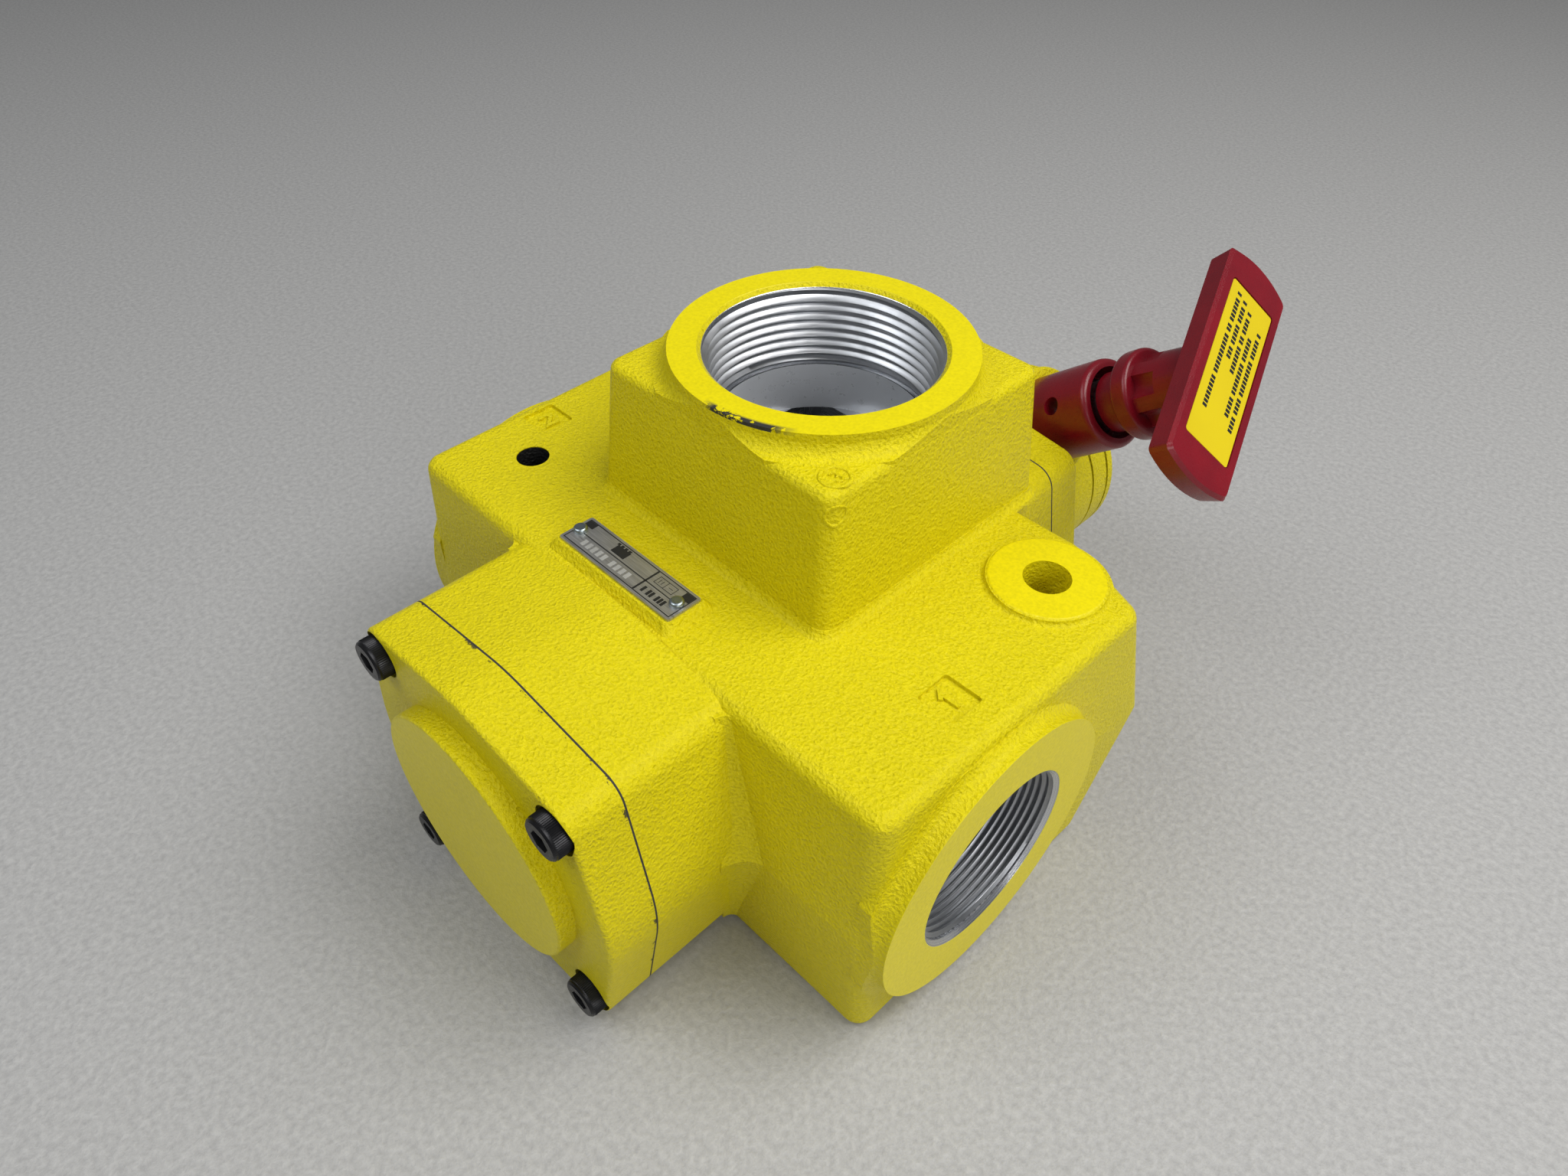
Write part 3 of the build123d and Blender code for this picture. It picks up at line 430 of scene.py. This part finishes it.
# ------------------------------------------------------------ pieces
def piece(name, mesh_builder, look, body="valve", smooth_angle=35.0, centre=(0, 0, 0)):
    """Makes an object from a bmesh that the builder fills in millimetres, and rides it.

    Its origin is at centre.
    """
    made = bmesh.new()
    mesh_builder(made)
    bmesh.ops.remove_doubles(made, verts=made.verts, dist=1e-4)
    bmesh.ops.dissolve_degenerate(made, edges=made.edges, dist=1e-5)
    bmesh.ops.recalc_face_normals(made, faces=made.faces)
    centre = Vector(centre)
    to_metres = Matrix.Scale(MM, 4) @ Matrix.Translation(-centre)
    bmesh.ops.transform(made, matrix=to_metres, verts=made.verts)
    mesh = bpy.data.meshes.new(name)
    made.to_mesh(mesh)
    made.free()
    mesh.materials.append(look)
    mesh.shade_smooth()
    mesh.set_sharp_from_angle(angle=math.radians(smooth_angle))
    item = bpy.data.objects.new(name, mesh)
    item.location = centre * MM
    bpy.context.scene.collection.objects.link(item)
    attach(item, body)
    return item


THREAD_HEIGHT, THREAD_TAPER = 0.48, 32
FADE_IN, RUN_OUT = 0.9, 0.6    # pitches over which the thread grows and dies away
SLEEVE_WALL, LINER_WALL = 0.35, 0.4


def thread_sleeve(origin, along, across, radius, pitch, depth, start, sides=220):
    """A closed sleeve with a tapered pipe thread inside, from `start` below the port's face."""
    along, across = Vector(along), Vector(across)
    third = along.cross(across)
    height = pitch * THREAD_HEIGHT
    # one pitch: (share of the pitch, share of the height)
    profile = [(0.0, 0.0), (0.06, 0.0), (0.44, 0.94), (0.5, 1.0), (0.56, 0.94), (0.94, 0.0)]
    rows = len(profile)
    turns = int((depth - start) / pitch) + 3

    def ring_point(turn, distance, r):
        direction = across * math.cos(turn) + third * math.sin(turn)
        return Vector(origin) + along * distance + direction * r

    def build(made):
        grid = []
        for side in range(sides):
            share = side / sides
            column = []
            for row in range(turns * rows + 1):
                lap, step = divmod(row, rows)
                phase, lift = profile[step]
                run = (lap - 1 + phase + share) * pitch + start
                clamped = min(max(run, start), depth)
                fade = min(1.0, max(0.0, (clamped - start) / (FADE_IN * pitch)))
                run_out = min(1.0, max(0.0, (depth - clamped) / (RUN_OUT * pitch)))
                taper = (clamped - start) / THREAD_TAPER
                r = radius - taper - height * lift * min(fade, run_out)
                column.append(made.verts.new(ring_point(math.tau * share, clamped, r)))
            grid.append(column)
        for side in range(sides):
            shift = rows if side == sides - 1 else 0
            right = grid[(side + 1) % sides]
            left = grid[side]
            for row in range(turns * rows):
                far = row + shift
                if far + 1 < len(right):
                    made.faces.new((left[row], left[row + 1], right[far + 1], right[far]))
        outer = []
        for side in range(sides):
            turn = math.tau * side / sides
            outer.append([
                made.verts.new(ring_point(turn, d, radius + SLEEVE_WALL)) for d in (start, depth)
            ])
        for side in range(sides):
            a, b = outer[side], outer[(side + 1) % sides]
            made.faces.new((a[0], b[0], b[1], a[1]))
            near_a, near_b = grid[side][0], grid[(side + 1) % sides][0]
            made.faces.new((near_a, near_b, b[0], a[0]))
            far_a, far_b = grid[side][-1], grid[(side + 1) % sides][-1]
            made.faces.new((a[1], b[1], far_b, far_a))

    return build


piece(
    "port_3_thread",
    thread_sleeve((0, 0, TOP_PORT_Z), (0, 0, -1), (1, 0, 0),
                  TOP_THREAD_R, TOP_PITCH, TOP_THREAD_DEPTH, TOP_LEAD_IN),
    thread_z,
)
for number, side in ((1, 1), (2, -1)):
    piece(
        f"port_{number}_thread",
        thread_sleeve((side * END_PORT_X, PORT_Y, PORT_Z), (-side, 0, 0), (0, 1, 0),
                      END_THREAD_R, END_PITCH, END_THREAD_DEPTH, END_LEAD_IN),
        thread_x_painted_shade, centre=(side * END_PORT_X, PORT_Y, PORT_Z),
    )


def liner(origin, along, across, radius, start, end, sides=160):
    """A thin closed tube that lines a bore between two depths."""
    along, across = Vector(along), Vector(across)
    third = along.cross(across)
    outer = radius + LINER_WALL

    def build(made):
        rings = []
        for depth, r in ((start, radius), (end, radius), (end, outer), (start, outer)):
            ring = []
            for k in range(sides):
                turn = math.tau * k / sides
                direction = across * math.cos(turn) + third * math.sin(turn)
                ring.append(made.verts.new(Vector(origin) + along * depth + direction * r))
            rings.append(ring)
        for i, ring in enumerate(rings):
            after = rings[(i + 1) % len(rings)]
            for k in range(sides):
                n = (k + 1) % sides
                made.faces.new((ring[k], ring[n], after[n], after[k]))

    return build


piece(
    "port_3_bore",
    liner((0, 0, TOP_PORT_Z), (0, 0, -1), (1, 0, 0), TOP_BORE_R, TOP_THREAD_DEPTH, BORE_DEPTH),
    bore_metal,
)
for number, side in ((1, 1), (2, -1)):
    piece(
        f"port_{number}_bore",
        liner((side * END_PORT_X, PORT_Y, PORT_Z), (-side, 0, 0), (0, 1, 0),
              END_BORE_R, END_THREAD_DEPTH, BORE_DEPTH),
        bore_metal, centre=(side * END_PORT_X, PORT_Y, PORT_Z),
    )


def knurl_sleeve(centre, along, across, radius, low, high, teeth=66, depth=0.2):
    """A thin closed sleeve with straight knurling round a screw head."""
    along, across = Vector(along), Vector(across)
    third = along.cross(across)
    # along the sleeve: (distance, share of the tooth depth, or a step inwards in mm)
    profile = (
        (low, -0.25), (low, 0.0), (low + 0.3, 1.0),
        (high - 0.3, 1.0), (high, 0.0), (high, -0.25),
    )

    def build(made):
        rings = []
        for distance, grow in profile:
            ring = []
            for tooth in range(teeth * 2):
                turn = math.pi * tooth / teeth
                lift = depth * (tooth % 2) * max(grow, 0) + min(grow, 0)
                direction = across * math.cos(turn) + third * math.sin(turn)
                place = Vector(centre) + along * distance + direction * (radius + lift)
                ring.append(made.verts.new(place))
            rings.append(ring)
        count = teeth * 2
        for i, ring in enumerate(rings):
            after = rings[(i + 1) % len(rings)]
            for k in range(count):
                n = (k + 1) % count
                made.faces.new((ring[k], ring[n], after[n], after[k]))

    return build


for i, (sx, sz) in enumerate(((-1, 1), (1, 1), (1, -1), (-1, -1))):
    centre = (sx * SCREW_PITCH, HEAD_BACK_Y, SPOOL_Z + sz * SCREW_PITCH)
    piece(
        f"front_screw_knurl_{i + 1}",
        knurl_sleeve(centre, (0, -1, 0), (1, 0, 0), HEAD_R, KNURL_START, KNURL_END),
        oxide, smooth_angle=20,
    )


# ------------------------------------------------------------ printed marks
def bars(rectangles, origin, right, up, thick):
    """Thin closed plates, each (x0, y0, x1, y1) in the plane's own millimetres."""
    origin, right, up = Vector(origin), Vector(right), Vector(up)
    out = right.cross(up)

    def build(made):
        for x0, y0, x1, y1 in rectangles:
            corners = [(x0, y0), (x1, y0), (x1, y1), (x0, y1)]
            low = [made.verts.new(origin + right * x + up * y - out * 0.02) for x, y in corners]
            high = [made.verts.new(origin + right * x + up * y + out * thick) for x, y in corners]
            made.faces.new(high)
            made.faces.new(low[::-1])
            for k in range(4):
                n = (k + 1) % 4
                made.faces.new((low[k], low[n], high[n], high[k]))

    return build


def frame_bars(x0, y0, x1, y1, width):
    """The four sides of a rectangle's outline."""
    return [
        (x0, y0, x1, y0 + width), (x0, y1 - width, x1, y1),
        (x0, y0 + width, x0 + width, y1 - width), (x1 - width, y0 + width, x1, y1 - width),
    ]


tag_print = frame_bars(-24.9, -5.5, 24.9, 5.5, 0.35)
tag_print += [(-24.5, -0.45, 24.5, -0.1), (8.0, -5.1, 8.7, 5.1)]
tag_print += [(-24.5, 2.6, -21.0, 5.1), (21.0, 2.2, 24.5, 5.1)]
tag_print += [(-9.5, 0.7, -3.5, 4.0)]
tag_print += frame_bars(10.4, 1.0, 18.4, 4.2, 0.2)
tag_print += [
    (14.3, 1.0, 14.5, 4.2), (11.6, 1.8, 11.8, 3.4),
    (12.8, 1.8, 13.0, 3.4), (15.6, 2.5, 17.4, 2.7),
]

label_out = HANDLE_DIR
label_up = label_out.cross(-TEE_LONG_DIR)
label_origin = HANDLE_ORIGIN + HANDLE_DIR * LABEL_TOP
LABEL_ROWS = (
    (7.6, -20.5, (1, 5, 9, 4, 4)),
    (4.1, -16, (6, 8, 5)),
    (0.6, -24, (1, 4, 2, 7)),
    (-2.9, -26, (1, 4, 5, 3)),
    (-6.4, -27, (1, 6, 2, 10, 8)),
)


def text_rows(rows, letter, gap, tall):
    """Rows of small blocks that stand for lines of print.

    A row is its y, the x of its first block and the number of blocks in each word.
    """
    made = []
    for y, x, words in rows:
        for letters in words:
            for _ in range(letters):
                made.append((x, y - tall / 2, x + letter, y + tall / 2))
                x += letter + gap
            x += letter
    return made


tag_print += text_rows([(-2.9, 10.2, (1, 2, 3))], 1.0, 0.35, 2.4)
tag_print += text_rows([(4.4, -10.2, (4,))], 1.2, 0.5, 0.9)
piece("name_plate_print", bars(tag_print, TAG, (1, 0, 0), (0, 1, 0), 0.04), ink)
piece(
    "name_plate_stamping",
    bars(text_rows([(-2.8, -18.5, (5, 4))], 1.5, 0.9, 2.6), TAG, (1, 0, 0), (0, 1, 0), 0.03),
    stamp_painted_highlight,
)
label_print = text_rows(LABEL_ROWS, 1.1, 0.42, 2.1)
piece(
    "grip_label_print",
    bars(label_print, label_origin, -TEE_LONG_DIR, label_up, 0.03),
    ink, body="grip",
)


# ------------------------------------------------------------ cast marks
def stroke(points, radius, lift=1.0, closed=False, out=(0, 0, 1), sides=10):
    """A rounded bead along points that face out, flattened by lift."""
    points = [Vector(p) for p in points]
    out = Vector(out)

    def build(made):
        rings = []
        count = len(points)
        for i, p in enumerate(points):
            before = points[i - 1] if closed or i else p
            after = points[(i + 1) % count] if closed or i < count - 1 else p
            along = (after - before).normalized()
            side = along.cross(out)
            ring = []
            for k in range(sides):
                turn = math.tau * k / sides
                offset = side * math.cos(turn) * radius + out * math.sin(turn) * radius * lift
                ring.append(made.verts.new(p + offset))
            rings.append(ring)
        pairs = zip(rings, rings[1:] + rings[:1]) if closed else zip(rings, rings[1:])
        for ring, after in pairs:
            for k in range(sides):
                n = (k + 1) % sides
                made.faces.new((ring[k], ring[n], after[n], after[k]))
        if not closed:
            made.faces.new(rings[0][::-1])
            made.faces.new(rings[-1])

    return build


def arc(cx, cy, z, radius, start, end, count):
    """Points on a level arc, with its angles in degrees."""
    angles = [math.radians(start + (end - start) * k / count) for k in range(count + 1)]
    return [(cx + radius * math.cos(a), cy + radius * math.sin(a), z) for a in angles]


MARK = (41.2, -38.2, 156.0)
round_mark = arc(*MARK, 4.3, 0, 360, 48)[:-1]
piece("port_3_mark_ring", stroke(round_mark, 0.65, 0.95, closed=True), part_paint)
numeral = (
    arc(MARK[0] - 1.0, MARK[1], MARK[2], 1.0, 240, 0, 14)[:-1]
    + arc(MARK[0] + 1.1, MARK[1], MARK[2], 1.15, 180, -70, 14)
)
piece("port_3_mark_numeral", stroke(numeral, 0.45, 1.2), part_paint)

# a plain casting mark that wraps the block's front corner
corner_out = Vector((1, -1, 0)).normalized()
corner_across = Vector((1, 1, 0)).normalized()
CORNER_MARK, CORNER_MARK_R, CORNER_MARK_SIDES = Vector((49, -46, 149.5)), 2.9, 36
CLEAR = 30.0    # how far outside the block each ray starts
corner_points = []
for k in range(CORNER_MARK_SIDES):
    angle = math.tau * k / CORNER_MARK_SIDES
    spot = CORNER_MARK + corner_across * math.cos(angle) * CORNER_MARK_R
    spot += Vector((0, 0, math.sin(angle) * CORNER_MARK_R))
    start = (spot + corner_out * CLEAR) * MM
    hit, point, _, _ = nodes["valve_body"].ray_cast(start, -corner_out)
    corner_points.append(point / MM if hit else spot)
piece(
    "corner_mark_ring",
    stroke(corner_points, 0.5, 0.8, closed=True, out=corner_out),
    part_paint,
)


# ------------------------------------------------------------ stage
def material_floor():
    """A plain pale surface with a faint speckle."""
    net = Net("pale_floor")
    speck = net.noise(420, 3, 0.6)
    color = net.mix(net.span(speck, 0.3, 0.7), (0.35, 0.345, 0.34, 1), (0.45, 0.445, 0.435, 1))
    return net.finish(color, 0.6, net.bump(speck, 0.0004))


floor_mesh = bpy.data.meshes.new("floor")
reach = 6.0
floor_corners = [(-reach, -reach, 0), (reach, -reach, 0), (reach, reach, 0), (-reach, reach, 0)]
floor_mesh.from_pydata(floor_corners, [], [(0, 1, 2, 3)])
floor_mesh.materials.append(material_floor())
floor = bpy.data.objects.new("floor", floor_mesh)
bpy.context.scene.collection.objects.link(floor)
floor.location.z = -0.0002


LIGHT_AIM = (0, -0.03, 0.08)


def area_light(name, at, size, power, color, gloss=1.0):
    light = bpy.data.lights.new(name, "AREA")
    light.shape = "RECTANGLE"
    light.size, light.size_y = size
    light.energy = power
    light.color = color
    light.specular_factor = gloss
    lamp = bpy.data.objects.new(name, light)
    lamp.location = at
    lamp.rotation_euler = (Vector(LIGHT_AIM) - Vector(at)).to_track_quat("-Z", "Y").to_euler()
    bpy.context.scene.collection.objects.link(lamp)


area_light("key", (0.55, 0.35, 1.25), (0.9, 0.9), 15.5, (1.0, 0.99, 0.97))
area_light("fill", (-0.42, -0.85, 1.3), (1.0, 0.8), 8.5, (0.95, 0.975, 1.0), 0.5)
area_light("side", (1.3, -0.5, 0.7), (0.7, 0.7), 6.0, (1, 1, 1), 0.15)

world = bpy.data.worlds.new("studio")
world.use_nodes = True
world.node_tree.nodes["Background"].inputs["Color"].default_value = (0.62, 0.64, 0.67, 1)
world.node_tree.nodes["Background"].inputs["Strength"].default_value = 0.24
bpy.context.scene.world = world
bpy.context.scene.view_settings.view_transform = "Standard"

# ------------------------------------------------------------ camera
AZIMUTH, ELEVATION, ROLL = math.radians(44.71), math.radians(43.38), math.radians(0.82)
CAMERA_AT = Vector((193.9, -211.25, 333.3)) * MM
back = Vector((
    math.sin(AZIMUTH) * math.cos(ELEVATION),
    -math.cos(AZIMUTH) * math.cos(ELEVATION),
    math.sin(ELEVATION),
))
right = Vector((math.cos(AZIMUTH), math.sin(AZIMUTH), 0))
up = back.cross(right)
right_rolled = right * math.cos(ROLL) + up * math.sin(ROLL)
up_rolled = up * math.cos(ROLL) - right * math.sin(ROLL)
camera_data = bpy.data.cameras.new("camera")
camera_data.sensor_width = 36.0
camera_data.lens = 25.13
camera_data.clip_start = 0.01
camera = bpy.data.objects.new("camera", camera_data)
turn = Matrix((right_rolled, up_rolled, back)).transposed()
camera.matrix_world = Matrix.Translation(CAMERA_AT) @ turn.to_4x4()
bpy.context.scene.collection.objects.link(camera)
bpy.context.scene.camera = camera
